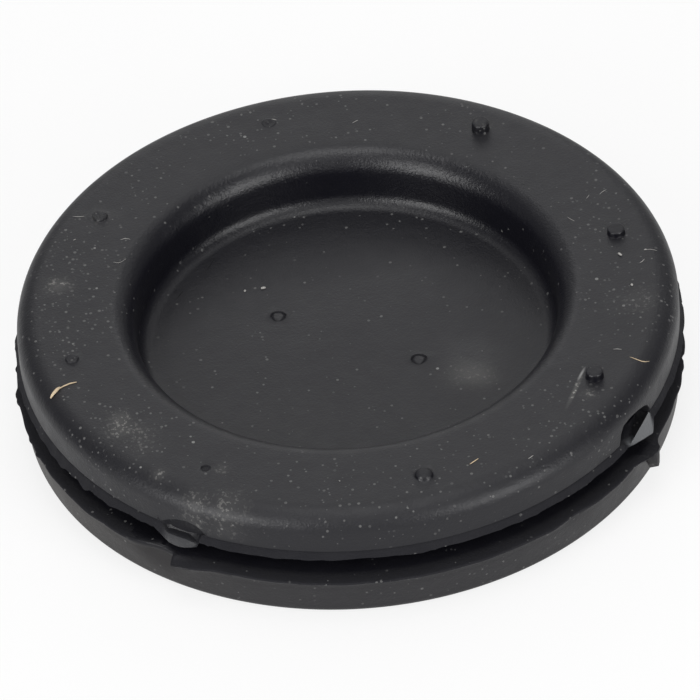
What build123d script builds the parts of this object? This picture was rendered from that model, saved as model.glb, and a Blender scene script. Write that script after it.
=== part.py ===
"""Blanking plug for a round hole in sheet-metal bodywork, moulded in one piece of black rubber.

Two flanges grip the panel between them in a groove. A thin membrane closes the middle, dished from
the top and from below. The moulding is as it came out of the tool: four vent pips stand on the top
flange and four are torn off, thin flash runs round both edges of the groove, and where the tool's
ring segments meet there is a thick tongue of flash on each edge, with a dent in the flange above.
The origin is on the axis at the foot, +Z up through the dished top. Lengths are in millimetres.
"""
import os
from math import cos, radians, sin, tan

from build123d import *

# Seat in the panel
seat_radius = 15.0                  # bottom of the groove: fits a 30 mm hole
groove_width = 1.66                 # gap between the two flanges

# Top flange
top_flange_radius = 18.45
top_flange_thickness = 2.5
top_edge_radius = 1.2               # rounding of the upper outer edge

# Bottom flange, pushed through the hole when the plug is fitted
bottom_flange_radius = 18.75
bottom_flange_thickness = 2.84
bottom_flange_taper = 7.0           # degrees of side taper, narrower towards the foot
foot_chamfer = 0.4

# Dish in the top, measured where its rounded lip leaves the flat of the flange
dish_radius = 13.15
dish_depth = 3.25
dish_draft = 5.0                    # degrees from upright
dish_lip_radius = 1.35
dish_corner_radius = 0.8
membrane_thickness = 1.5

# Hollow underneath
hollow_radius = 12.8

# Feather edge of flash on both sides of the groove
flash_reach = 0.2
flash_thickness = 0.25

# Vent pips on the top flange and the marks of vents on the membrane
pip_pitch = 45.0                    # degrees between neighbouring vents
pip_radius = 0.5
pip_heights = (0.35, 0.6, 0.5, 0.6)  # standing pips, from -Y round to the +X +Y diagonal
torn_pip_count = 4
scar_height = 0.1                   # ragged rim left where a pip was torn off
scar_hole_radius = 0.28
scar_sides = 8
membrane_scar_radius = 4.5          # pitch radius of the two marks on the membrane

# Joints of the tool's ring segments
split_angles = (-135.0, -45.0)
tongue_width = 3.0                  # rounded tongue on the top flange, across its root circle
tongue_reach = 0.9                  # beyond the flange
tongue_thickness = 0.32
dent_radius = 1.9                   # hollow above the tongue
dent_depth = 0.5
tab_reach = 0.62                    # saw-tooth tab on the bottom flange
tab_thickness = 0.35
tab_step_angle = 3.0                # degrees from the joint to the tab's square end
tab_ramp_angle = 8.0                # degrees from the joint to where the tab runs out

# Heights and radii that follow from the sizes above
groove_floor = bottom_flange_thickness
groove_roof = groove_floor + groove_width
plug_height = groove_roof + top_flange_thickness
dish_floor = plug_height - dish_depth
hollow_roof = dish_floor - membrane_thickness


def rounded_corner_setback(corner_radius, draft):
    """Distance from a corner to the start of its rounding, between a level face and a drafted wall."""
    return corner_radius * tan(radians(90 - draft) / 2)


def polar(radius, angle):
    """A point in plan at a radius and an angle in degrees."""
    return (radius * cos(radians(angle)), radius * sin(radians(angle)))


pip_circle_radius = (dish_radius + top_flange_radius) / 2
dish_top_radius = dish_radius - rounded_corner_setback(dish_lip_radius, dish_draft)
dish_floor_radius = dish_top_radius - dish_depth * tan(radians(dish_draft))
foot_radius = bottom_flange_radius - bottom_flange_thickness * tan(radians(bottom_flange_taper))

# Half of the cross-section: each corner as (radius, height, rounding), from the axis under the
# membrane, out and up round the flanges, and back to the axis on top of the membrane
section_corners = [
    (hollow_radius, hollow_roof, 0),
    (hollow_radius, 0, 0),
    (foot_radius - foot_chamfer, 0, 0),
    (foot_radius, foot_chamfer, 0),
    (bottom_flange_radius, groove_floor - flash_thickness, 0),
    (bottom_flange_radius + flash_reach, groove_floor, 0),
    (seat_radius, groove_floor, 0),
    (seat_radius, groove_roof, 0),
    (top_flange_radius + flash_reach, groove_roof, 0),
    (top_flange_radius, groove_roof + flash_thickness, 0),
    (top_flange_radius, plug_height, top_edge_radius),
    (dish_top_radius, plug_height, dish_lip_radius),
    (dish_floor_radius, dish_floor, dish_corner_radius),
]

with BuildPart() as plug_body:
    with BuildSketch(Plane.XZ):
        with BuildLine():
            FilletPolyline(
                (0, hollow_roof),
                *[(radius, height) for radius, height, rounding in section_corners],
                (0, dish_floor),
                radius=[rounding for radius, height, rounding in section_corners],
            )
            Line((0, dish_floor), (0, hollow_roof))
        make_face()
    revolve(axis=Axis.Z)

    # Dents in the side of the top flange at the tool's joints, then the tongues below them
    dent_height = groove_roof + tongue_thickness + dent_depth
    dent_centre_radius = top_flange_radius + dent_radius - dent_depth
    with Locations([(*polar(dent_centre_radius, angle), dent_height) for angle in split_angles]):
        Sphere(dent_radius, mode=Mode.SUBTRACT)
    with BuildSketch(Plane.XY.offset(groove_roof)):
        tongue_centre_radius = top_flange_radius + tongue_reach - tongue_width / 2
        with Locations([polar(tongue_centre_radius, angle) for angle in split_angles]):
            Circle(tongue_width / 2)
    extrude(amount=tongue_thickness)

    # Tabs on the upper edge of the bottom flange: square at one end, running out at the other
    with BuildSketch(Plane.XY.offset(groove_floor)):
        for angle in split_angles:
            with BuildLine():
                Polyline(
                    polar(bottom_flange_radius - tab_reach, angle - tab_step_angle),
                    polar(bottom_flange_radius + tab_reach, angle - tab_step_angle),
                    polar(bottom_flange_radius + tab_reach, angle),
                    polar(bottom_flange_radius, angle + tab_ramp_angle),
                    close=True,
                )
            make_face()
    extrude(amount=-tab_thickness)

    # Vent pips still standing on the top flange
    for index, pip_height in enumerate(pip_heights):
        with BuildSketch(Plane.XY.offset(plug_height)):
            with Locations(polar(pip_circle_radius, -90 + index * pip_pitch)):
                Circle(pip_radius)
        extrude(amount=pip_height)

    # Rims left by the torn pips and by the two vents on the membrane
    first_torn_angle = -90 + len(pip_heights) * pip_pitch
    torn_angles = [first_torn_angle + index * pip_pitch for index in range(torn_pip_count)]
    membrane_angles = [split_angles[1], split_angles[1] + 180]
    for height, radius, angles in (
        (plug_height, pip_circle_radius, torn_angles),
        (dish_floor, membrane_scar_radius, membrane_angles),
    ):
        with BuildSketch(Plane.XY.offset(height)):
            with Locations([polar(radius, angle) for angle in angles]):
                RegularPolygon(pip_radius, scar_sides)
                RegularPolygon(scar_hole_radius, scar_sides, mode=Mode.SUBTRACT)
        extrude(amount=scar_height)

os.makedirs("parts", exist_ok=True)
plug_body.part.label = "plug_body"
export_step(plug_body.part, "parts/plug_body.step")
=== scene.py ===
"""Looks of the rubber body plug: the detailed skin of its one moulding, lint, floor, light and camera.

The skin is built from rings of points round the plug's axis, from the middle of the dish, out and
down round both flanges, to the middle of the hollow underneath. Lengths inside this script are in
millimetres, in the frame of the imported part, and meshes are made in metres. Named angles are in
degrees; the angle that a shape function takes is an array in radians, one for each point of a ring.
"""
import math

import bpy
import numpy as np
from mathutils import Matrix, Vector


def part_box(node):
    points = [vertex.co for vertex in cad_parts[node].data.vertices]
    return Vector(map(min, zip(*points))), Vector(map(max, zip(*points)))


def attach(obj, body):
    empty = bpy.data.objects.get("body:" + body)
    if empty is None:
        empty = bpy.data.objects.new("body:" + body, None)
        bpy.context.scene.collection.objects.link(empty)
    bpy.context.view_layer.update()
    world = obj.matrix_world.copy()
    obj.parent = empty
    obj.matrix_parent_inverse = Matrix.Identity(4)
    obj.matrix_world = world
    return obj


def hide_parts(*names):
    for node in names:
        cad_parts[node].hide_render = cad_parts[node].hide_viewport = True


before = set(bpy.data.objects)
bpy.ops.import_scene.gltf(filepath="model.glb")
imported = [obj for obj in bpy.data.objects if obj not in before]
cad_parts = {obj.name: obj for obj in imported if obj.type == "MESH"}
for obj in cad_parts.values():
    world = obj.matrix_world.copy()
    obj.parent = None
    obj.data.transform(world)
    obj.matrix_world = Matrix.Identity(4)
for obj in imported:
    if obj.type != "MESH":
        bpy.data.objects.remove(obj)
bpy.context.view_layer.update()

node_low, node_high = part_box("plug_body")

# ---------------------------------------------------------------- sizes, from the frame
MM = 0.001
FLASH_RADIUS = (node_high[0] - node_low[0]) / 2 / MM        # tip of the bottom flange's flash
STANDING_PIPS = {-90: 0.3, -45: 0.46, 0: 0.37, 45: 0.6}     # angle: height of the whole vent pips
TORN_PIPS = {90: (0.4, 0.04), 135: (0.42, 0.2), 180: (0.36, 0.15), 225: (0.27, -0.1)}   # radius, height
DOMED_PIP = -90                      # the one with a round top
PLUG_HEIGHT = (node_high[2] - node_low[2]) / MM - max(STANDING_PIPS.values())

BOTTOM_RADIUS = FLASH_RADIUS - 0.2
TOP_RADIUS = BOTTOM_RADIUS - 0.3     # the top flange is the smaller one
FOOT_RADIUS = BOTTOM_RADIUS - 0.35   # the bottom flange tapers towards its foot
FOOT_ROUNDING = 0.5
SEAT_RADIUS = 15.0                   # bottom of the groove
GROOVE_FLOOR = 2.84
GROOVE_WIDTH = 1.66
GROOVE_ROOF = GROOVE_FLOOR + GROOVE_WIDTH

DISH_RADIUS = 13.15
DISH_DEPTH = 3.25
DISH_FLOOR = PLUG_HEIGHT - DISH_DEPTH
DISH_DRAFT = 5                       # from upright
LIP_RADIUS = 1.35
CORNER_RADIUS = 0.8
MEMBRANE = 1.5
HOLLOW_RADIUS = 12.8
HOLLOW_ROOF = DISH_FLOOR - MEMBRANE
HOLLOW_ROUNDING = 0.8

DIP_START = 14.3                     # inside this radius the top dips towards the dish
DIP_WIDTH = 1.2                      # and dips this far inside it
DIP_DEPTH = 0.012                    # by this much
EDGE_WIDTH = 1.35                    # rounding of the top flange's outer edge, across
EDGE_DROP = 1.15                     # and down
FLAT_END = TOP_RADIUS - EDGE_WIDTH
OFF_AXIS = 0.07                      # how far the top flange's side sits off the plug's axis
PIP_CIRCLE = (DISH_RADIUS + TOP_RADIUS) / 2 - 0.05
PIP_RADIUS = 0.5
MARK_RADIUS = 0.5
MARKS = ((4.36, -42.0), (4.5, 135))  # radius and angle of the ring marks on the membrane

CREASE = GROOVE_ROOF + 0.14          # the line under the top flange's side, where its flash begins
FLASH_DROP = 0.46                    # how far the tip of that flash lies below the crease
RIM = GROOVE_FLOOR - 0.18            # the drooping edge of the bottom flange
LIMIT = FLASH_RADIUS - 0.01          # nothing reaches further along X or Y

VIEW_AZIMUTH = -102.9                # direction from the plug to the camera, in plan
LEFT, RIGHT = -135.0, -45.0          # joints of the mould's ring segments, as seen from the camera

COARSE, MEDIUM, FINE, FINEST = 180, 360, 720, 1440          # points in a ring
PATCH_MARGIN = 1.25                  # size of the opening for a pip or mark, against its own size
ROW_MARGIN = 1.35                    # how far the rings on both sides of it keep away, likewise
HARD_EDGE = 48                       # faces that meet more steeply than this have a hard edge
MEMBRANE_RINGS = (0.8, 1.6, 2.4, 3.1, 3.6, 4.0, 4.5, 5.0, 5.4, 5.9, 6.4, 6.9, 7.4, 7.9, 8.4, 8.9, 9.4,
                  9.9, 10.4)

# ---------------------------------------------------------------- outlines and unevenness
# Each pip, stub and mark as (radius, rise) from its edge to its middle. Pips are of unit height,
# and stubs of unit radius too.
STANDING_PROFILE = ((0.515, 0.0), (0.5, 0.1), (0.495, 0.5), (0.485, 0.8), (0.465, 0.93), (0.42, 0.99),
                    (0.28, 1.0), (0.14, 1.0))
DOMED_PROFILE = ((0.54, 0.0), (0.51, 0.1), (0.49, 0.4), (0.44, 0.65), (0.36, 0.85), (0.25, 0.96),
                 (0.13, 1.0))
STUB_PROFILE = ((1.15, 0.0), (1.02, 0.12), (0.98, 0.7), (0.9, 1.0), (0.7, 0.85), (0.45, 0.6), (0.2, 0.55))
MARK_PROFILE = ((0.56, 0.0), (0.5, 0.02), (0.46, 0.03), (0.42, -0.06), (0.36, -0.07), (0.31, 0.01),
                (0.24, 0.03), (0.12, 0.03))

MEMBRANE_BUMPS = (                   # middle (x, y), spread, rise
    ((6.2, -4.6), 1.9, 0.17), ((8.9, -4.0), 2.2, -0.06), ((6.05, -4.1), 0.4, -0.05),
    ((4.5, 3.5), 3.5, 0.07), ((-1.0, 2.5), 3.5, 0.04), ((-5.0, 3.0), 3.5, 0.03),
)
RIM_LUMPS = (                        # middle angle, half width in degrees, rise
    (170.5, 2.2, 0.13), (172.5, 1.2, 0.1), (164, 1.0, 0.08), (160.5, 1.6, 0.07), (-177.5, 1.3, 0.08),
    (-173.5, 0.9, 0.09), (-65, 6.0, -0.12), (-127, 8.0, -0.1), (-16.5, 4.0, 0.07), (-20.4, 1.2, -0.12),
    (-23.0, 1.6, 0.06), (-28, 4, 0.08),
)

# The torn sheets of flash at the joints of the mould, as (degrees from the joint, height) along the
# upper and the lower edge of each sheet, and along the top of the gouge behind it. The share is how
# much of a torn sheet there is.
SHEETS = {
    LEFT: {
        "upper": ((-5.2, 4.55), (-3.8, 4.12), (-1.7, 4.1), (0.3, 4.12), (2.1, 4.02), (2.7, 4.1),
                  (3.1, 4.6)),
        "lower": ((-6.0, 4.2), (-4.4, 3.86), (-2.8, 3.54), (-1.2, 3.47), (0.1, 3.52), (1.4, 3.68),
                  (2.6, 3.86), (3.0, 4.2)),
        "gouge": ((-4.6, 4.6), (-3.4, 4.86), (-1.4, 5.14), (0.6, 5.24), (2.3, 5.12), (4.2, 4.66)),
        "share": ((-4.6, 0), (-3.0, 1), (2.7, 1), (3.1, 0)),
    },
    RIGHT: {
        "upper": ((-6.0, 4.55), (-4.3, 4.22), (-1.2, 4.58), (2.5, 4.9), (2.8, 4.66)),
        "lower": ((-5.4, 4.2), (-4.3, 4.14), (-2.2, 3.9), (0.1, 3.56), (1.6, 3.36), (2.7, 3.24),
                  (3.2, 3.62), (3.8, 4.2)),
        "gouge": ((-6.7, 4.6), (-6.3, 5.25), (-5.4, 5.7), (-3.2, 5.8), (-0.6, 5.65), (1.6, 5.4),
                  (2.7, 5.15), (3.4, 4.7)),
        "share": ((-5.2, 0), (-4.2, 1), (2.8, 1), (3.6, 0)),
    },
}
SHEET_END = 0.3                      # degrees over which a sheet's edge runs out
GOUGE_SPREAD = 40                    # degrees from the joint to where a gouge fades out
GOUGE_STEPS = (0, 0.08, 0.2, 0.4, 0.7, 1.0)                 # shares of the way down a gouge
GOUGES = {                           # depth, and the share of it at each of those steps
    LEFT: (0.34, (0, 0.45, 0.85, 1.0, 1.0, 1.1)),
    RIGHT: (1.0, (0, 0.14, 0.46, 0.8, 1, 1.05)),
}
NOTCH_GAP = 0.08                     # between the crease and what lies above and below it
NOTCH = (                            # inset, rise, share of the gouge's depth, sink under the right gouge
    (0.06, 0.03, 1, 0), (0.11, 0.0, 1, 0.35), (0.08, -0.05, 0, 0.4),
)
FLASH_STEPS = (0.0, 0.35, 0.7, 1.0)  # shares of the way down and out to the tip of the top flash
FLASH_TIP = ((0.03, 0.03), (0.09, 0.0))                     # inset and drop round the tip
RIM_STEPS = (                        # inset and drop round the ragged edge of the bottom flange
    (0.75, -0.12), (0.3, -0.06), (0.09, -0.03), (0.03, -0.012), (0.0, 0.02), (0.0, 0.08), (0.03, 0.14),
)
PLAIN_INSET = 0.3                    # from here inwards the edge isn't ragged
LUMPY = (-163, 24)                   # middle angle and half width of the lumpy stretch of the top flash

# The saw-tooth tabs of flash on the bottom flange, as (degrees from the joint, share of the reach)
LEFT_TAB = ((-2.2, 0), (-1.9, 0.95), (-1.4, 1), (0.0, 0.75), (2.0, 0.4), (5.0, 0.12), (12.0, 0))
LEFT_TAB_REACH = 0.65
RIGHT_TAB = ((-4.2, 0), (-2.6, 0.45), (-1.6, 0.85), (0.3, 1), (1.3, 0.95), (2.2, 0.55), (3.4, 0.2),
             (5.0, 0))
RIGHT_TAB_REACH = 0.62
CURL = ((-0.7, 0), (-0.3, 0.85), (0.3, 1), (0.8, 0.75), (1.5, 0))
CURL_DROP = 0.82
TRIM = (-139.5, 7, 0.35)             # middle angle, half width and depth of the trim beside the left tab
LIFT = (-141, 10, 0.2)               # middle angle, half width and rise of the rim beside that tab


# ---------------------------------------------------------------- shape helpers
def angles_of(count):
    """Angles of the points of a ring."""
    return np.arange(count) * 2 * math.pi / count


def polar(radius, degrees):
    """Place in plan of a radius and an angle."""
    return radius * math.cos(math.radians(degrees)), radius * math.sin(math.radians(degrees))


def signed(angle, centre):
    """Degrees from the centre angle, from -180 to 180."""
    return (np.degrees(angle) - centre + 180) % 360 - 180


def ease(value, low, high):
    """0 below low, 1 above high, and smooth between them."""
    share = np.clip((value - low) / (high - low), 0, 1)
    return share * share * (3 - 2 * share)


def bell(angle, centre, half_width):
    """1 at the centre angle, falling smoothly to 0 at half_width degrees from it."""
    away = signed(angle, centre)
    return np.where(np.abs(away) < half_width, 0.5 + 0.5 * np.cos(math.pi * away / half_width), 0)


def along(angle, joint, table):
    """Value in a table of (degrees from the joint, value)."""
    turns, values = zip(*table)
    return np.interp(signed(angle, joint), turns, values)


def waves(angle, seed, slowest, fastest):
    """Smooth noise of about unit size round the circle, of the given numbers of waves per turn."""
    random = np.random.default_rng(seed)
    orders = np.arange(slowest, fastest + 1)
    phases = random.uniform(0, 2 * math.pi, len(orders))
    sizes = random.uniform(0.4, 1, len(orders)) * math.sqrt(3 / len(orders))
    return (sizes * np.sin(np.outer(angle, orders) + phases)).sum(1)


def ragged(angle, seed, teeth):
    """Torn-edge noise from 0 to 1: straight nicks between unevenly spaced points."""
    random = np.random.default_rng(seed)
    knots = np.sort(random.uniform(0, 2 * math.pi, teeth))
    depths = random.uniform(0, 1, teeth) ** 2
    return np.interp(angle, knots, depths, period=2 * math.pi)


def arc(centre, size, start, end, steps):
    """Points of an arc in the (radius, height) plane, anticlockwise from the outward direction."""
    turn = np.radians(np.linspace(start, end, steps))
    return [(centre[0] + size[0] * math.cos(t), centre[1] + size[1] * math.sin(t)) for t in turn]


def line(start, end, steps):
    """Points between two points of the (radius, height) plane, without the two ends."""
    start, end = np.array(start), np.array(end)
    return [tuple(start + (end - start) * k / (steps + 1)) for k in range(1, steps + 1)]


def rows_beside(radii, circle, size):
    """The nearest rings, inside and outside, that clear a patch of the given size on a circle."""
    clear = size * ROW_MARGIN
    inner = max(k for k, radius in enumerate(radii) if radius < circle - clear)
    outer = min(k for k, radius in enumerate(radii) if radius > circle + clear)
    return inner, outer


class Skin:
    """A closed mesh made of rings of points, with round patches let into its level parts."""

    def __init__(self):
        self.points = []
        self.faces = []
        self.rings = []
        self.cut = set()                 # (row, column) of the faces that patches replace
        self.spans = {}                  # first point, and end, of the parts that are painted apart

    def add(self, xyz):
        self.points.append(xyz)
        return len(self.points) - 1

    def begin(self, name):
        """Starts a part that is painted apart."""
        self.spans[name] = [len(self.points), None]

    def end(self, name):
        self.spans[name][1] = len(self.points)

    def ring(self, count, radius, height):
        """Adds a ring. radius and height are numbers or functions of the angles of its points."""
        angle = angles_of(count)
        r = (radius(angle) if callable(radius) else radius) + np.zeros(count)
        z = (height(angle) if callable(height) else height) + np.zeros(count)
        first = len(self.points)
        self.points += list(zip(r * np.cos(angle), r * np.sin(angle), z))
        self.rings.append(list(range(first, first + count)))

    def patch(self, inner, outer, centre, profile, wobble):
        """Lets a round boss or mark into the level band between two rings.

        profile is a list of (radius, rise) from the edge to the middle, and wobble the unevenness.
        """
        loop = self.opening(inner, outer, centre, profile[0][0] * PATCH_MARGIN)
        base = [self.points[k] for k in loop]
        turn = [math.atan2(p[1] - centre[1], p[0] - centre[0]) for p in base]
        for radius, rise in profile:
            new = []
            for p, t in zip(base, turn):
                size = radius * (1 + wobble * (0.05 * math.sin(3 * t + 1.3) + 0.03 * math.sin(7 * t)))
                uneven = 0.2 + 0.13 * math.sin(2 * t + 0.7) + 0.07 * math.sin(5 * t)
                x, y = centre[0] + size * math.cos(t), centre[1] + size * math.sin(t)
                new.append(self.add((x, y, p[2] + rise * (1 - wobble * uneven))))
            self.strip(loop, new)
            loop = new
        top = self.add((centre[0], centre[1], base[0][2] + profile[-1][1] * (1 - 0.2 * wobble)))
        for a, b in zip(loop, loop[1:] + loop[:1]):
            self.faces.append((top, a, b))

    def opening(self, inner, outer, centre, reach):
        """Cuts the faces within reach of the centre and returns the points round the opening."""
        count = len(self.rings[inner])
        pitch = 2 * math.pi / count
        middle = math.atan2(centre[1], centre[0]) / pitch
        half = reach / (math.hypot(*centre) * pitch)
        low, high = math.floor(middle - half), math.ceil(middle + half)
        columns = [k % count for k in range(low, high + 1)]
        self.cut |= {(row, column) for row in range(inner, outer) for column in columns[:-1]}
        loop = [self.rings[inner][k] for k in columns]
        loop += [self.rings[row][columns[-1]] for row in range(inner + 1, outer)]
        loop += [self.rings[outer][k] for k in reversed(columns)]
        loop += [self.rings[row][columns[0]] for row in range(outer - 1, inner, -1)]
        return loop[::-1]

    def strip(self, outer, inner):
        """Faces between two loops of the same length, the outer one anticlockwise from above."""
        for k in range(len(outer)):
            n = (k + 1) % len(outer)
            self.faces.append((outer[k], outer[n], inner[n], inner[k]))

    def join(self):
        """Faces between all neighbouring rings and the two middles."""
        for row in range(len(self.rings) - 1):
            near, far = self.rings[row], self.rings[row + 1]
            a, b = len(near), len(far)
            for k in range(min(a, b)):
                if (row, k) in self.cut:
                    continue
                if a == b:
                    n = (k + 1) % a
                    self.faces.append((near[k], far[k], far[n], near[n]))
                elif b == 2 * a:
                    n, m = (k + 1) % a, (2 * k + 2) % b
                    self.faces.append((near[k], far[2 * k], far[2 * k + 1]))
                    self.faces.append((near[k], far[2 * k + 1], near[n]))
                    self.faces.append((near[n], far[2 * k + 1], far[m]))
                else:
                    n, m = (k + 1) % b, (2 * k + 2) % a
                    self.faces.append((far[k], near[2 * k + 1], near[2 * k]))
                    self.faces.append((far[k], far[n], near[2 * k + 1]))
                    self.faces.append((far[n], near[m], near[2 * k + 1]))
        for ring, height, turn in ((self.rings[0], DISH_FLOOR, 1), (self.rings[-1], HOLLOW_ROOF, -1)):
            middle = self.add((0, 0, height))
            for k in range(len(ring)):
                pair = (ring[k], ring[(k + 1) % len(ring)])
                self.faces.append((middle, *pair[::turn]))

    def build(self, name):
        mesh = bpy.data.meshes.new(name)
        mesh.from_pydata([tuple(c * MM for c in p) for p in self.points], [], self.faces)
        mesh.polygons.foreach_set("use_smooth", [True] * len(mesh.polygons))
        mesh.set_sharp_from_angle(angle=math.radians(HARD_EDGE))
        thing = bpy.data.objects.new(name, mesh)
        bpy.context.scene.collection.objects.link(thing)
        return thing


# ---------------------------------------------------------------- the moulding
def frontness(angle):
    """1 at the front of the plug, falling to 0 at its sides and behind."""
    return ease(np.cos(angle - math.radians(VIEW_AZIMUTH)), 0, 0.75)


def within_box(angle, radius):
    """The radius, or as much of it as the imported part's box holds."""
    return np.minimum(radius, LIMIT / np.maximum(np.abs(np.cos(angle)), np.abs(np.sin(angle))))


def membrane_height(angle, radius):
    """The thin membrane has pulled a little out of true as it cooled."""
    x, y = radius * np.cos(angle), radius * np.sin(angle)
    height = np.zeros_like(angle)
    for (bump_x, bump_y), spread, rise in MEMBRANE_BUMPS:
        height += rise * np.exp(-((x - bump_x) ** 2 + (y - bump_y) ** 2) / spread ** 2)
    return DISH_FLOOR + height * np.clip((10.6 - radius) / 2.5, 0, 1)


def sheet_edge(angle, edge, usual):
    """Height of an edge of the torn sheets; elsewhere the usual height."""
    height = np.zeros_like(angle) + usual
    for joint, sheet_edges in SHEETS.items():
        first, last = sheet_edges[edge][0][0], sheet_edges[edge][-1][0]
        run = ((first - SHEET_END, 0), (first, 1), (last, 1), (last + SHEET_END, 0))
        height += along(angle, joint, run) * (along(angle, joint, sheet_edges[edge]) - height)
    return height


def sheet(angle):
    """1 across the torn sheets, falling to 0 at their sides."""
    return sum(along(angle, joint, edges["share"]) for joint, edges in SHEETS.items())


def crease(angle):
    """Height of the crease, and of the upper edge of the torn sheets."""
    return sheet_edge(angle, "upper", CREASE)


def gouge_top(angle):
    """Height at which the top flange's side ends and its gouges begin."""
    return np.maximum(sheet_edge(angle, "gouge", CREASE), crease(angle)) + NOTCH_GAP


def gouged(angle):
    """1 in the middle of the gouges in the top flange's side, falling to 0 at their ends."""
    return np.clip((gouge_top(angle) - crease(angle) - NOTCH_GAP) / 0.6, 0, 1)


def gouge_depth(angle, share):
    """Depth of the gouges in the top flange's side, at a share of the way down from top to crease."""
    total = np.zeros_like(angle)
    for joint, (depth, shares) in GOUGES.items():
        total += depth * bell(angle, joint, GOUGE_SPREAD) * np.interp(share, GOUGE_STEPS, shares)
    return total * gouged(angle)


def left_tab(angle):
    """How far the left tab of flash stands out from the bottom flange."""
    return LEFT_TAB_REACH * along(angle, LEFT, LEFT_TAB)


def right_tab(angle):
    """How far the right tab stands out."""
    return RIGHT_TAB_REACH * along(angle, RIGHT, RIGHT_TAB)


def tab(angle):
    """How far either tab stands out."""
    return right_tab(angle) + left_tab(angle)


def curl(angle):
    """How far the torn end of the right tab is bent down."""
    return CURL_DROP * along(angle, RIGHT, CURL)


def trim(angle):
    """How far the bottom flange is trimmed back beside its left tab."""
    middle, half_width, depth = TRIM
    return depth * bell(angle, middle, half_width)


def top_flash(angle):
    """Reach of the thin flash under the top flange's side."""
    uneven = 0.025 * waves(angle, 11, 5, 60) + 0.05 * ragged(angle, 12, 420)
    return (0.19 + uneven) * (1 - 0.35 * sheet(angle))


def flash_tip(angle):
    """Height of the torn lower edge of that flash."""
    lumpy = bell(angle, *LUMPY) * np.clip(0.2 + 0.1 * waves(angle, 13, 40, 110), 0, 0.4)
    uneven = 0.02 * waves(angle, 14, 6, 50) - 0.07 * ragged(angle, 15, 420)
    return sheet_edge(angle, "lower", CREASE - FLASH_DROP + uneven - lumpy)


def rim(angle):
    """Radius of the ragged edge of the bottom flange."""
    lumps = sum(rise * bell(angle, middle, half_width) for middle, half_width, rise in RIM_LUMPS)
    nicks = 0.03 * ragged(angle, 24, 300) * ease(waves(angle, 25, 3, 24), -0.5, 0.8)
    smooth = BOTTOM_RADIUS - 0.1 + 0.26 * frontness(angle) + 0.015 * waves(angle, 23, 5, 60)
    return smooth - nicks + lumps - trim(angle)


def top_outside(angle):
    """Radius of the top flange's side, which sits a little off the axis."""
    return TOP_RADIUS + OFF_AXIS * np.cos(angle - math.radians(VIEW_AZIMUTH + 90))


def lip_dip(radius):
    """How far the top flange dips towards the dish, which its lip meets without an edge."""
    return DIP_DEPTH * max(0, (DIP_START - max(radius, DISH_RADIUS - 0.4)) / DIP_WIDTH) ** 2


def add_dish(skin):
    """The membrane, the corner round it, the drafted wall and the lip."""
    for radius in MEMBRANE_RINGS:
        skin.ring(COARSE, radius, lambda angle, radius=radius: membrane_height(angle, radius))
    setback = math.tan(math.radians(90 - DISH_DRAFT) / 2)   # of a rounding's start, for 1 mm of its radius
    top_corner = DISH_RADIUS - LIP_RADIUS * setback
    floor_corner = top_corner - (PLUG_HEIGHT - DISH_FLOOR) * math.tan(math.radians(DISH_DRAFT))
    corner_middle = (floor_corner - CORNER_RADIUS * setback, DISH_FLOOR + CORNER_RADIUS)
    lip_middle = (DISH_RADIUS, PLUG_HEIGHT - LIP_RADIUS)
    corner = arc(corner_middle, (CORNER_RADIUS, CORNER_RADIUS), -90, -DISH_DRAFT, 12)
    lip = arc(lip_middle, (LIP_RADIUS, LIP_RADIUS), 180 - DISH_DRAFT, 90, 14)
    for radius, height in corner + line(corner[-1], lip[0], 4) + lip:
        skin.ring(MEDIUM, radius, height - lip_dip(radius))


def add_top_flange(skin):
    """The flat top, its rounded edge and the gouged side down to the crease.

    Returns the row and the radii of the flat's rings, for the pips.
    """
    first = len(skin.rings)
    band = list(np.linspace(DISH_RADIUS + 0.25, FLAT_END - 0.15, 12))
    for radius in band:
        skin.ring(FINE, radius, PLUG_HEIGHT - lip_dip(radius))
    edge_end = PLUG_HEIGHT - EDGE_DROP
    for radius, height in arc((FLAT_END, edge_end), (EDGE_WIDTH, EDGE_DROP), 90, 0, 14):
        share = (radius - FLAT_END) / EDGE_WIDTH
        skin.ring(FINE, lambda angle, r=radius, s=share: r + s * (top_outside(angle) - TOP_RADIUS), height)
    for share in (0.35, 0.7, 1.0):
        skin.ring(FINEST, top_outside,
                  lambda angle, s=share: edge_end + s * (gouge_top(angle) - edge_end))
    skin.begin("gouges")
    for share in GOUGE_STEPS[1:]:
        skin.ring(FINEST, lambda angle, s=share: top_outside(angle) - gouge_depth(angle, s),
                  lambda angle, s=share: gouge_top(angle) + s * (crease(angle) - gouge_top(angle)))
    return first, band


def add_notch(skin):
    """The notch under the crease, where the gouges end. The one on the right opens it further."""
    for inset, rise, back, sink in NOTCH:
        skin.ring(FINEST,
                  lambda angle, i=inset, b=back: top_outside(angle) - i - b * gouge_depth(angle, 1),
                  lambda angle, r=rise, s=sink: crease(angle) + r - s * gouged(angle) * (np.cos(angle) > 0))
    skin.end("gouges")


def add_top_flash(skin):
    """The flash that flares out under the crease, with its torn sheets."""
    def root(angle):
        return top_outside(angle) - 0.02 + 0.12 * sheet(angle)

    def top(angle):
        return crease(angle) - NOTCH_GAP

    skin.begin("flash")
    for share in FLASH_STEPS:
        skin.ring(FINEST, lambda angle, s=share: root(angle) + s ** 1.3 * (top_flash(angle) + 0.02),
                  lambda angle, s=share: top(angle) - s * (top(angle) - flash_tip(angle)))
    for inset, drop in FLASH_TIP:
        skin.ring(FINEST, lambda angle, i=inset: root(angle) + top_flash(angle) - i,
                  lambda angle, d=drop: flash_tip(angle) - d)
    skin.end("flash")
    skin.ring(FINEST, TOP_RADIUS - 0.2,
              lambda angle: np.minimum(flash_tip(angle) + 0.3, GROOVE_ROOF - 0.05))
    skin.ring(FINE, TOP_RADIUS - 0.6, GROOVE_ROOF)


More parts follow.
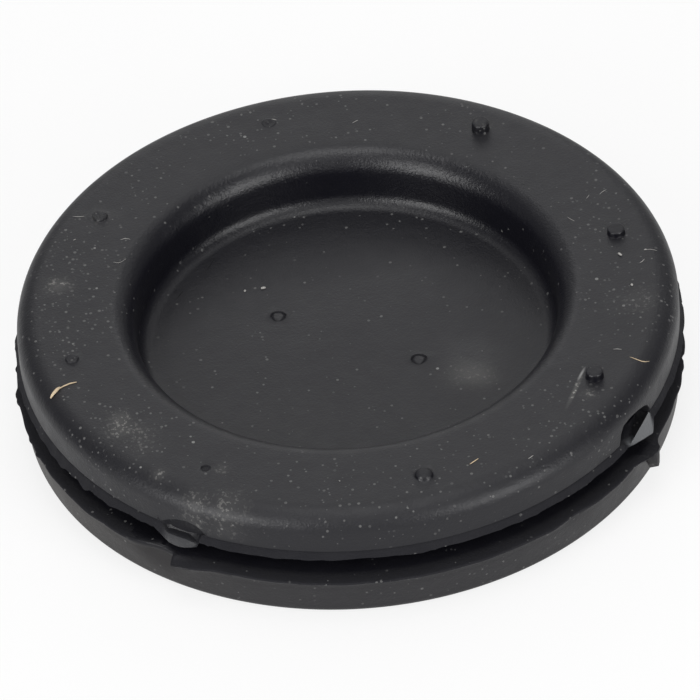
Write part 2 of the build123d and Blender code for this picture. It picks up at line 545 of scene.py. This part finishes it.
def add_groove(skin):
    rounding = 0.2
    for radius, height in ((17.0, GROOVE_ROOF), (SEAT_RADIUS + rounding, GROOVE_ROOF),
                           (SEAT_RADIUS, GROOVE_ROOF - rounding), (SEAT_RADIUS, GROOVE_FLOOR + rounding),
                           (SEAT_RADIUS + rounding, GROOVE_FLOOR), (17.2, GROOVE_FLOOR)):
        skin.ring(MEDIUM, radius, height)
    skin.ring(FINE, BOTTOM_RADIUS - 1.15, GROOVE_FLOOR)


def add_rim(skin):
    """The ragged, drooping edge of the bottom flange, with its tabs."""
    def edge(angle, inset):
        base = rim(angle) if inset < PLAIN_INSET else BOTTOM_RADIUS
        return within_box(angle, base + tab(angle)) - inset

    def height(angle, drop):
        tilt = 0.5 * left_tab(angle) - 0.25 * right_tab(angle)
        bent = curl(angle) * np.interp(drop, (0.0, 0.02, 0.14), (0, 0.1, 1))
        bent += tilt * np.interp(drop, (-0.12, -0.012, 0.08, 0.14), (0.2, 1, 1, 0))
        middle, half_width, rise = LIFT
        bent -= rise * bell(angle, middle, half_width) * (drop < 0.1)
        return RIM + 0.015 * waves(angle, 26, 4, 30) - drop - bent

    def tucked(angle, drop):
        return np.clip(drop, 0, 1) * 2.5 * np.clip(2 * right_tab(angle) - 2 * curl(angle), 0, 1)

    for inset, drop in RIM_STEPS:
        skin.ring(FINEST, lambda angle, i=inset, d=drop: edge(angle, i) - tucked(angle, d),
                  lambda angle, d=drop: height(angle, d))
    skin.ring(FINEST, lambda angle: side_start(angle) + 0.02 + 0.45 * tab(angle) - trim(angle),
              lambda angle: height(angle, 0.3) - 0.2 * tab(angle))


def side_start(angle):
    """Radius of the bottom flange's side, under the rim."""
    return BOTTOM_RADIUS - 0.22 + 0.18 * frontness(angle)


def side_end(angle):
    """Radius of the bottom flange's side, at the foot."""
    return FOOT_RADIUS - 0.1 + 0.1 * frontness(angle)


def add_bottom_side(skin):
    """The tapered side of the bottom flange and the rounding of its foot."""
    def radius(angle, share):
        swelling = (0.12 * tab(angle) - 0.8 * trim(angle)) * (1 - share) ** 3
        return side_start(angle) + share * (side_end(angle) - side_start(angle)) + swelling

    top = RIM - 0.55
    for share in np.linspace(0, 1, 7):
        skin.ring(FINE, lambda angle, s=share: radius(angle, s), top + share * (FOOT_ROUNDING - top))
    steps = 7
    for step in range(1, steps + 1):
        turn = math.pi / 2 * step / steps
        skin.ring(MEDIUM, lambda angle, t=turn: side_end(angle) - FOOT_ROUNDING * (1 - math.cos(t)),
                  FOOT_ROUNDING * (1 - math.sin(turn)))


def add_hollow(skin):
    """The foot's flat ring and the hollow under the membrane."""
    inner_lip = [(HOLLOW_RADIUS + 0.3, 0), (HOLLOW_RADIUS + 0.1, 0.06), (HOLLOW_RADIUS, 0.25)]
    corner = (HOLLOW_RADIUS - HOLLOW_ROUNDING, HOLLOW_ROOF - HOLLOW_ROUNDING)
    roof_corner = arc(corner, (HOLLOW_ROUNDING, HOLLOW_ROUNDING), 0, 90, 8)
    outline = line((FOOT_RADIUS - FOOT_ROUNDING - 0.1, 0), inner_lip[0], 4) + inner_lip
    for radius, height in outline + line(inner_lip[-1], roof_corner[0], 2) + roof_corner:
        skin.ring(MEDIUM, radius, height)
    for radius in (10.5, 8.5, 6.0, 3.5, 1.5):
        skin.ring(COARSE, radius, HOLLOW_ROOF)


def add_membrane_marks(skin):
    for radius, angle in MARKS:
        inner, outer = rows_beside(MEMBRANE_RINGS, radius, MARK_RADIUS)
        skin.patch(inner, outer, polar(radius, angle), MARK_PROFILE, wobble=0.6)


def add_pips(skin, first, band):
    inner, outer = (first + row for row in rows_beside(band, PIP_CIRCLE, PIP_RADIUS))
    for angle, height in STANDING_PIPS.items():
        profile = DOMED_PROFILE if angle == DOMED_PIP else STANDING_PROFILE
        shape = [(radius, rise * height) for radius, rise in profile]
        skin.patch(inner, outer, polar(PIP_CIRCLE, angle), shape, wobble=0.1)
    for angle, (size, height) in TORN_PIPS.items():
        shape = [(radius * size, rise * height) for radius, rise in STUB_PROFILE]
        skin.patch(inner, outer, polar(PIP_CIRCLE, angle), shape, wobble=1)


def moulding():
    skin = Skin()
    add_dish(skin)
    first, band = add_top_flange(skin)
    add_notch(skin)
    add_top_flash(skin)
    add_groove(skin)
    add_rim(skin)
    add_bottom_side(skin)
    add_hollow(skin)
    add_membrane_marks(skin)
    add_pips(skin, first, band)
    skin.join()
    return skin.build("plug_skin"), skin.spans


# ---------------------------------------------------------------- masks painted on the skin's points
DUSTY = (                            # middle (radius, angle), spread, how much dust
    ((15.8, 150), 3.6, 1.0), ((15.5, 172), 3.2, 0.9), ((15.8, -155), 3.2, 1.0), ((16.4, -20), 3.2, 0.9),
    ((15.5, 5), 3.0, 0.6), ((15.8, -55), 2.8, 0.5), ((15.8, -110), 3.5, 0.45), ((15.8, -80), 3.0, 0.3),
    ((15.5, 90), 4.0, 0.3), ((15.5, 120), 3.0, 0.3), ((15.5, 45), 3.0, 0.25), ((18.4, -90), 4.0, 0.3),
    ((18.4, -60), 3.0, 0.35), ((5.0, 150), 5.0, 0.12),
)
LEAST_DUST = 0.12
# Pale spots: bloom on the flat top, mixed with painted highlights. These are the key lamps' glints on the
# front-left edge rounding near -127 and -133 degrees, and a highlight on the membrane near -43 degrees.
PALE_SPOTS_AND_HIGHLIGHTS = (                          # middle (radius, angle), spread, how pale
    ((16.15, 157.0), 0.55, 0.9), ((15.55, -158.9), 0.5, 0.8), ((16.1, -156.2), 0.6, 0.75),
    ((15.4, -153.5), 0.6, 0.25), ((17.35, -141.9), 0.35, 0.6), ((15.9, -150.0), 0.8, 0.25),
    ((18.1, -133.0), 0.6, 0.45), ((17.9, -127.0), 0.9, 0.4), ((16.2, -50.0), 0.35, 0.5),
    ((16.4, -21.0), 0.9, 0.3), ((7.25, -44.0), 0.9, 0.34), ((8.3, -42.0), 0.8, 0.34),
    ((15.8, 135.0), 0.8, 0.15), ((15.8, 45.0), 0.6, 0.15), ((15.5, -131.8), 0.3, 0.5),
)


def spots(points, table):
    """Sum of soft round spots over the plan of the points."""
    total = np.zeros(len(points))
    for (radius, angle), spread, size in table:
        x, y = polar(radius, angle)
        total += size * np.exp(-((points[:, 0] - x) ** 2 + (points[:, 1] - y) ** 2) / spread ** 2)
    return total


def distance(points, places):
    """Distance in plan from each point to the nearest of some places, each a radius and an angle."""
    x, y = np.array([polar(*place) for place in places]).T
    return np.hypot(points[:, 0:1] - x, points[:, 1:2] - y).min(1)


def paint(thing, spans):
    """Stores the masks of the rubber's material as attributes of the mesh."""
    mesh = thing.data
    points = np.empty(len(mesh.vertices) * 3)
    mesh.vertices.foreach_get("co", points)
    points = points.reshape(-1, 3) / MM
    height = points[:, 2]
    radius, angle = np.hypot(points[:, 0], points[:, 1]), np.arctan2(points[:, 1], points[:, 0])
    number = np.arange(len(points))

    upper = np.clip((height - CREASE) / 0.5, 0, 1)
    in_dish = radius <= DISH_RADIUS
    membrane = height > DISH_FLOOR - 0.3
    dish_wall = np.clip((DISH_RADIUS - radius) / 0.4, 0, 1) * np.clip((height - DISH_FLOOR) / 0.15, 0, 1)
    dish_wall = dish_wall * (1 - 0.9 * frontness(angle))
    flash, gouges = ((number >= spans[name][0]) & (number < spans[name][1]) for name in ("flash", "gouges"))
    gouges = gouges * (gouged(angle) > 0) * np.clip((top_outside(angle) - radius - 0.02) / 0.12, 0, 1)
    on_rim = (np.abs(height - RIM) < 0.13) & (radius > BOTTOM_RADIUS - 0.5)
    side = np.clip((PLUG_HEIGHT - 0.15 - height) / 0.4, 0, 1) * (radius > TOP_RADIUS - 0.8)
    side = side * (height > CREASE - 0.05) * (1 - gouges)
    proud = height > PLUG_HEIGHT + 0.02
    pip_top = distance(points, [(PIP_CIRCLE, a) for a in STANDING_PIPS]) < 0.44
    on_stub = distance(points, [(PIP_CIRCLE, a) for a in TORN_PIPS]) < 0.4
    on_stub = on_stub * (height > PLUG_HEIGHT - 0.5) * (np.abs(height - PLUG_HEIGHT) > 0.004)
    mark_groove = (np.abs(distance(points, MARKS) - 0.39) < 0.06) & membrane

    # Bloom spots and painted highlights together. Inside the dish they make a pale patch on the membrane
    # that is painted highlight in part.
    bloom_and_highlight = spots(points, PALE_SPOTS_AND_HIGHLIGHTS)
    masks = {
        "dust": (LEAST_DUST + spots(points, DUSTY) * (0.25 + 0.75 * upper)) * (1 - 0.6 * dish_wall),
        "bloom_and_highlight": bloom_and_highlight * upper * ~in_dish,
        "haze_and_highlight": bloom_and_highlight * membrane * in_dish,
        "torn": (flash * (1 - sheet(angle)) + on_rim * (1 - np.clip(2 * curl(angle), 0, 1)) + gouges
                 + 0.7 * mark_groove + 0.25 * proud * pip_top + 0.6 * on_stub),
        "wall": np.maximum(np.maximum(dish_wall, proud * ~pip_top), 0.4 * side),
        # Painted light on the torn sheets of flash: full on the right-hand sheet, little on the left.
        "sheet_painted_light": flash * np.clip(sheet(angle) - 0.1, 0, 1) * np.where(np.cos(angle) > 0, 1, 0.12),
        # Painted floor reflection on the bottom flange's side and foot, strongest towards the left and
        # right as the camera sees them.
        "painted_floor_reflection": (np.clip((RIM - 0.1 - height) / 0.2, 0, 1) * (radius > FOOT_RADIUS - 0.3)
                 * (0.15 + 0.85 * np.cos(angle) ** 4)),
    }
    for name, values in masks.items():
        mesh.attributes.new(name, "FLOAT", "POINT").data.foreach_set("value", np.clip(values, 0, 1))


# ---------------------------------------------------------------- lint
LINT_COLOURS = {
    "lint_tan": (0.76, 0.60, 0.40),
    "lint_white": (0.44, 0.43, 0.41),
    "lint_dark": (0.004, 0.004, 0.004),
}
LINT = {                             # thickness of each fibre, then points (radius, angle) along it
    "lint_tan": (
        (0.2, (17.85, -171.8), (17.6, -172.3), (17.3, -172.8), (17.1, -173.0)),
        (0.08, (17.4, -172.7), (16.9, -173.2), (16.5, -173.4), (16.1, -173.2)),
        (0.06, (15.97, -80.6), (15.88, -79.5), (15.8, -78.4)),
        (0.045, (16.9, -37.4), (17.3, -37.6), (17.6, -37.6), (17.8, -37.2), (17.95, -36.6)),
    ),
    "lint_white": (
        (0.03, (17.2, 137.0), (16.9, 136.7), (16.6, 136.1)),
        (0.03, (13.8, 140.0), (13.6, 139.1), (13.3, 139.0)),
        (0.025, (13.5, 147.9), (13.2, 147.9), (13.05, 147.3), (12.9, 145.9)),
        (0.03, (16.2, 12.3), (16.45, 12.7), (16.7, 12.8)),
        (0.025, (15.4, 12.6), (15.7, 13.3)),
        (0.025, (13.75, 9.2), (13.85, 8.0), (13.95, 7.2)),
        (0.08, (16.9, -6.6), (17.05, -6.55)),
        (0.025, (16.95, -6.6), (17.25, -6.6), (17.6, -7.0)),
        (0.035, (15.8, -36.2), (16.0, -35.9), (16.25, -35.8)),
        (0.035, (14.8, 72.5), (15.05, 71.3)),
        (0.04, (17.37, -70.6), (17.32, -69.4)),
        (0.03, (18.15, -30.6), (18.35, -31.3), (18.4, -32.1)),
        (0.04, (16.5, -10.1), (16.65, -9.8), (16.8, -9.2)),
        (0.045, (16.0, 89.2), (15.85, 88.3)),
        (0.14, (15.6, -7.3), (15.44, -6.5)),
        (0.15, (15.98, -16.9), (15.92, -16.4)),
        (0.13, (7.3, 126.9), (7.4, 125.9)),
        (0.16, (6.75, 120.9), (6.6, 118.9)),
        (0.05, (16.3, 143.3), (16.2, 142.9)),
        (0.05, (15.3, -107.2), (15.35, -106.9)),
    ),
    "lint_dark": (
        (0.03, (7.5, 59.6), (7.7, 57.5), (8.05, 54.2)),
        (0.03, (10.5, 141.2), (10.45, 137.2)),
        (0.025, (10.2, 126.0), (10.4, 122.5), (10.6, 119.6)),
    ),
}
FIBRE_SIDES = 6
FIBRE_STEPS = 6                      # for each point along the fibre


def surface_height(radius):
    """Height of the plug's upper side at a radius, for what lies on it."""
    if radius > FLAT_END:
        across = (radius - FLAT_END) / EDGE_WIDTH
        return PLUG_HEIGHT - EDGE_DROP * (1 - math.sqrt(max(0, 1 - across ** 2)))
    if radius > DISH_RADIUS:
        return PLUG_HEIGHT
    if radius > DISH_RADIUS - LIP_RADIUS * 0.9:
        return PLUG_HEIGHT - LIP_RADIUS + math.sqrt(LIP_RADIUS ** 2 - (DISH_RADIUS - radius) ** 2)
    return DISH_FLOOR


def add_fibre(points, thickness, faces, vertices):
    """Adds a tapering tube along the points, lying on the plug's upper side."""
    steps = FIBRE_STEPS * len(points)
    at = np.linspace(0, len(points) - 1, steps)
    radii, turns = (np.interp(at, range(len(points)), values) for values in zip(*points))
    path = [Vector((*polar(r, t), surface_height(r) + thickness * 0.4)) for r, t in zip(radii, turns)]
    start = len(vertices)
    for k, place in enumerate(path):
        forward = (path[min(k + 1, steps - 1)] - path[max(k - 1, 0)]).normalized()
        across = forward.cross(Vector((0, 0, 1))).normalized()
        over = across.cross(forward)
        size = thickness / 2 * (0.25 + 0.75 * math.sin(math.pi * (k + 0.6) / (steps + 0.2)) ** 0.6)
        for side in range(FIBRE_SIDES):
            turn = 2 * math.pi * side / FIBRE_SIDES
            vertices.append(place + size * (math.cos(turn) * across + math.sin(turn) * over))
    for k in range(steps - 1):
        row = start + k * FIBRE_SIDES
        for side in range(FIBRE_SIDES):
            a, b = row + side, row + (side + 1) % FIBRE_SIDES
            faces.append((a, a + FIBRE_SIDES, b + FIBRE_SIDES, b))
    last = start + (steps - 1) * FIBRE_SIDES
    faces.append(tuple(range(start, start + FIBRE_SIDES)))
    faces.append(tuple(range(last + FIBRE_SIDES - 1, last - 1, -1)))


def add_lint(name, fibres):
    vertices, faces = [], []
    for thickness, *points in fibres:
        add_fibre(points, thickness, faces, vertices)
    mesh = bpy.data.meshes.new(name)
    mesh.from_pydata([v * MM for v in vertices], [], faces)
    mesh.polygons.foreach_set("use_smooth", [True] * len(mesh.polygons))
    thing = bpy.data.objects.new(name, mesh)
    bpy.context.scene.collection.objects.link(thing)
    mesh.materials.append(lint_material(name, LINT_COLOURS[name]))
    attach(thing, "root")


# ---------------------------------------------------------------- materials
RUBBER = ((0.0032, 0.0032, 0.0062, 1), (0.0050, 0.0048, 0.0078, 1))     # its mottling, from and to
# Tint of the bloom and of the painted highlights.
BLOOM_AND_HIGHLIGHT_TINT = (0.27, 0.265, 0.25, 1)
SMEARED = (0.42, 0.42, 0.41, 1)
SHEET_PAINTED_LIGHT = (0.112, 0.117, 0.124, 1)         # torn sheets of flash, painted pale as light on their lit tops
FLOOR_REFLECTION_TINT = (0.012, 0.009, 0.0075, 1)             # painted warm reflection of the floor on the bottom flange's side
DUST = (0.33, 0.33, 0.32, 1)
SMEAR = ((14.95, -43.6), (16.0, -57.0))      # a pale smear beside the right-hand vent pip, end to end
SMEAR_HEAD = ((14.9, -42.9), (15.1, -48.0))  # and its thickest part
DULLNESS = 0.405                             # roughness of the plain rubber, before its mottling
WHITE_CARD = (0.92, 0.92, 0.92, 1)
FLOOR_LIFT = 0.80                            # share of plain white in the floor as the camera sees it
FLOOR_MIRRORED = 0.78                        # its strength in reflections


class Nodes:
    """Short calls for building a material's nodes."""

    def __init__(self, name):
        self.material = bpy.data.materials.new(name)
        self.material.use_nodes = True
        self.tree = self.material.node_tree
        self.shader = self.tree.nodes["Principled BSDF"]

    def add(self, kind, inputs=None, **settings):
        made = self.tree.nodes.new("ShaderNode" + kind)
        for key, value in settings.items():
            setattr(made, key, value)
        for key, value in (inputs or {}).items():
            self.put(value, made.inputs[key])
        return made

    def put(self, value, socket):
        if isinstance(value, bpy.types.NodeSocket):
            self.tree.links.new(value, socket)
        else:
            socket.default_value = value

    def math(self, operation, a, b=0.0, c=0.0, clamp=False):
        return self.add("Math", {0: a, 1: b, 2: c}, operation=operation, use_clamp=clamp).outputs[0]

    def place(self):
        return self.add("TexCoord").outputs["Object"]

    def noise(self, size, detail=2.0, rough=0.5):
        """Noise from 0 to 1, with features of the given size in millimetres."""
        made = self.add("TexNoise", {"Vector": self.place(), "Scale": 1 / (size * MM), "Detail": detail,
                                     "Roughness": rough})
        return made.outputs["Fac"]

    def remap(self, value, low, high):
        """0 below low, 1 above high, and smooth between them."""
        made = self.add("MapRange", {0: value, 1: low, 2: high, 3: 0.0, 4: 1.0})
        made.interpolation_type = "SMOOTHSTEP"
        return made.outputs[0]

    def mix(self, share, a, b):
        made = self.add("Mix", data_type="RGBA")
        for key, value in ((0, share), (6, a), (7, b)):
            self.put(value, made.inputs[key])
        return made.outputs[2]

    def bump(self, height, depth, under=None):
        """Small relief of the given depth in millimetres, on top of another one."""
        inputs = {"Height": height, "Strength": 1.0, "Distance": depth * MM}
        if under:
            inputs["Normal"] = under
        return self.add("Bump", inputs).outputs[0]

    def attribute(self, name):
        return self.add("Attribute", attribute_name=name).outputs["Fac"]

    def streak(self, start, end, width):
        """1 at the middle of a line on the plug's top, falling to 0 at its ends and at half its width."""
        (x0, y0), (x1, y1) = polar(*start), polar(*end)
        length = math.dist((x0, y0), (x1, y1))
        made = self.add("Mapping", {"Vector": self.place()}, vector_type="TEXTURE")
        made.inputs["Location"].default_value = ((x0 + x1) / 2 * MM, (y0 + y1) / 2 * MM, PLUG_HEIGHT * MM)
        made.inputs["Rotation"].default_value = (0, 0, math.atan2(y1 - y0, x1 - x0))
        made.inputs["Scale"].default_value = (length / 2 * MM, width / 2 * MM, 2 * MM)
        fade = self.add("TexGradient", {"Vector": made.outputs[0]}, gradient_type="SPHERICAL")
        return fade.outputs["Fac"]

    def specks(self, pitch, largest, density):
        """Round specks, one at most in each cell of the given pitch, where density allows one."""
        cells = self.add("TexVoronoi", {"Vector": self.place(), "Scale": 1 / (pitch * MM)})
        random = self.add("SeparateColor", {"Color": cells.outputs["Color"]})
        chosen = self.math("SUBTRACT", self.math("ADD", random.outputs[0], density), 1.0)
        chosen = self.math("DIVIDE", chosen, self.math("MAXIMUM", density, 0.001), clamp=True)
        size = self.math("MULTIPLY", self.math("POWER", chosen, 0.7), largest / pitch)
        inside = self.math("SUBTRACT", size, cells.outputs["Distance"])
        inside = self.math("MULTIPLY", inside, pitch / 0.02, clamp=True)
        return self.math("MULTIPLY", inside, self.math("MULTIPLY_ADD", random.outputs[1], 0.8, 0.2))


def rubber():
    """Black moulded rubber, faintly mottled, with specks of pale dust, patches of bloom mixed with painted
    highlights, painted light on the torn sheets and a painted floor reflection on the bottom flange's side.
    """
    n = Nodes("black_rubber")
    dust, bloom_and_highlight, haze_and_highlight, painted_floor_reflection = (n.attribute(name) for name in ("dust", "bloom_and_highlight", "haze_and_highlight", "painted_floor_reflection"))
    torn, wall, sheet_painted_light = (n.attribute(name) for name in ("torn", "wall", "sheet_painted_light"))

    small = n.specks(pitch=0.25, largest=0.1, density=n.math("MULTIPLY", dust, 0.75))
    large = n.specks(pitch=0.8, largest=0.11, density=n.math("MULTIPLY", dust, 0.45))
    specks = n.math("MAXIMUM", n.math("MULTIPLY", small, 0.3), n.math("MULTIPLY", large, 0.65))

    crumbs = n.remap(n.noise(0.24, detail=3.0, rough=0.65), low=0.54, high=0.64)
    smear = n.math("MULTIPLY", n.streak(*SMEAR, width=0.34), 1.4)
    smear_head = n.math("MULTIPLY", n.streak(*SMEAR_HEAD, width=0.2), 0.7, clamp=True)
    # Bloom and smear, with the painted highlights among the bloom spots, then the membrane's patch of
    # painted highlight.
    crumbly = n.math("MULTIPLY", n.math("ADD", bloom_and_highlight, smear), n.math("MULTIPLY_ADD", crumbs, 0.85, 0.17))
    even = n.math("MULTIPLY", haze_and_highlight, n.math("MULTIPLY_ADD", crumbs, 0.36, 0.38))
    pale = n.math("ADD", crumbly, even, clamp=True)

    colour = n.mix(n.noise(4.0, detail=4.0, rough=0.6), *RUBBER)
    # Tints laid over the rubber: bloom with painted highlights, smear, painted light on the torn sheets,
    # painted floor reflection, dust.
    for share, tint in ((pale, BLOOM_AND_HIGHLIGHT_TINT), (smear_head, SMEARED), (sheet_painted_light, SHEET_PAINTED_LIGHT), (painted_floor_reflection, FLOOR_REFLECTION_TINT),
                        (specks, DUST)):
        colour = n.mix(share, colour, tint)
    n.put(colour, n.shader.inputs["Base Color"])

    dull = n.math("MULTIPLY_ADD", n.noise(1.2, detail=4.0, rough=0.6), 0.16, DULLNESS)
    for share, more in ((wall, -0.17), (torn, 0.42), (n.math("MAXIMUM", specks, pale), 0.45)):
        dull = n.math("MULTIPLY_ADD", share, more, dull)
    n.put(dull, n.shader.inputs["Roughness"])
    n.shader.inputs["Specular IOR Level"].default_value = 0.5

    rougher = n.math("MULTIPLY_ADD", wall, 0.25, 1.0)
    grain = n.math("MULTIPLY", n.noise(0.14, detail=3.0, rough=0.6), rougher)
    relief = n.bump(grain, depth=0.021)
    relief = n.bump(n.noise(0.8, detail=3.0, rough=0.6), depth=0.03, under=relief)
    relief = n.bump(specks, depth=0.02, under=relief)
    n.put(relief, n.shader.inputs["Normal"])
    return n.material


def lint_material(name, colour):
    n = Nodes(name)
    shade = n.mix(n.noise(0.15, 2.0), tuple(c * 0.55 for c in colour) + (1,), colour + (1,))
    n.put(shade, n.shader.inputs["Base Color"])
    n.put(n.math("MULTIPLY_ADD", n.noise(0.1), 0.2, 0.5), n.shader.inputs["Roughness"])
    return n.material


def floor_material():
    """White card. Reflections see it as plain white, and the camera sees it with the plug's shadow."""
    n = Nodes("floor_white")
    n.put(WHITE_CARD, n.shader.inputs["Base Color"])
    n.put(0.9, n.shader.inputs["Roughness"])
    n.put(0.2, n.shader.inputs["Specular IOR Level"])
    rays = n.add("LightPath").outputs
    mirrored = n.math("MAXIMUM", rays["Is Glossy Ray"], rays["Is Transmission Ray"])
    strength = n.math("MULTIPLY_ADD", mirrored, FLOOR_MIRRORED - 1, 1.0)
    white = n.add("Emission", {"Color": (1, 1, 1, 1), "Strength": strength})
    share = n.math("MULTIPLY_ADD", rays["Is Camera Ray"], FLOOR_LIFT, mirrored, clamp=True)
    choice = n.add("MixShader", {0: share, 1: n.shader.outputs[0], 2: white.outputs[0]})
    n.tree.links.new(choice.outputs[0], n.tree.nodes["Material Output"].inputs["Surface"])
    return n.material


# ---------------------------------------------------------------- stage
VIEW_ELEVATION = 41.378
VIEW_ROLL = -4.581
VIEW_DISTANCE = 677.5
VIEW_SLIDE = (0.271, -2.996)         # of the camera in its own picture plane, right and up
VIEW_LENS = 627.0
SENSOR_WIDTH = 36

FLOOR_SIZE = 2000                    # from the middle to a side
FLOOR_GAP = 0.02                     # below the foot, so that the two don't share a plane
WORLD_LIGHT = 0.21
SOFTBOX_DISTANCE = 600
SOFTBOXES = (                        # name, angle from the camera, elevation, size, power
    ("key_left", -44, 15, 320, 1.45), ("key_left_high", -44, 38, 320, 0.67),
    ("key_right", 44, 15, 320, 1.37), ("key_right_high", 44, 38, 320, 0.5),
    ("overhead", 0, 88, 300, 0.73), ("overhead_wide", 0, 88, 560, 0.3),
    ("back_high", 180, 74, 300, 0.32), ("back_mid", 180, 36, 300, 0.21),
    ("back_low", 180, 24, 300, 0.2), ("back_horizon", 180, 13, 300, 0.11),
    ("back_left", -140, 38, 300, 0.1), ("back_right", 140, 38, 300, 0.14),
    ("front_low", 0, 15, 300, 0.1), ("front_high", 0, 58, 300, 0.13),
)


def direction(azimuth, elevation):
    """Unit vector towards an azimuth and an elevation."""
    a, e = math.radians(azimuth), math.radians(elevation)
    return Vector((math.cos(e) * math.cos(a), math.cos(e) * math.sin(a), math.sin(e)))


def add_camera():
    roll = math.radians(VIEW_ROLL)
    back = direction(VIEW_AZIMUTH, VIEW_ELEVATION)
    level = direction(VIEW_AZIMUTH + 90, 0)
    above = back.cross(level)
    right = level * math.cos(roll) + above * math.sin(roll)
    up = above * math.cos(roll) - level * math.sin(roll)
    target = Vector((0, 0, PLUG_HEIGHT)) + right * VIEW_SLIDE[0] + up * VIEW_SLIDE[1]
    place = target + back * VIEW_DISTANCE
    data = bpy.data.cameras.new("camera")
    data.lens = VIEW_LENS
    data.sensor_width = SENSOR_WIDTH
    data.clip_start = 10 * MM
    camera = bpy.data.objects.new("camera", data)
    camera.matrix_world = Matrix.Translation(place * MM) @ Matrix((right, up, back)).transposed().to_4x4()
    bpy.context.scene.collection.objects.link(camera)
    bpy.context.scene.camera = camera


def add_softbox(name, azimuth, elevation, size, power):
    data = bpy.data.lights.new(name, "AREA")
    data.shape = "SQUARE"
    data.size = size * MM
    data.energy = power
    lamp = bpy.data.objects.new(name, data)
    towards = direction(azimuth, elevation)
    lamp.location = towards * SOFTBOX_DISTANCE * MM
    lamp.rotation_euler = towards.to_track_quat("Z", "Y").to_euler()
    bpy.context.scene.collection.objects.link(lamp)


def add_floor():
    corners = ((-1, -1), (1, -1), (1, 1), (-1, 1))
    mesh = bpy.data.meshes.new("floor")
    mesh.from_pydata([(x * FLOOR_SIZE * MM, y * FLOOR_SIZE * MM, -FLOOR_GAP * MM) for x, y in corners], [],
                     [(0, 1, 2, 3)])
    mesh.materials.append(floor_material())
    floor = bpy.data.objects.new("floor", mesh)
    bpy.context.scene.collection.objects.link(floor)


def add_light():
    world = bpy.data.worlds.new("studio")
    world.use_nodes = True
    background = world.node_tree.nodes["Background"].inputs
    background["Color"].default_value = (1, 1, 1, 1)
    background["Strength"].default_value = WORLD_LIGHT
    bpy.context.scene.world = world
    for name, azimuth, elevation, size, power in SOFTBOXES:
        add_softbox(name, VIEW_AZIMUTH + azimuth, elevation, size, power)


plug, painted_spans = moulding()
paint(plug, painted_spans)
plug.data.materials.append(rubber())
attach(plug, "root")
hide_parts("plug_body")
for lint_name, lint_fibres in LINT.items():
    add_lint(lint_name, lint_fibres)

add_floor()
add_light()
add_camera()
bpy.context.scene.view_settings.view_transform = "Standard"
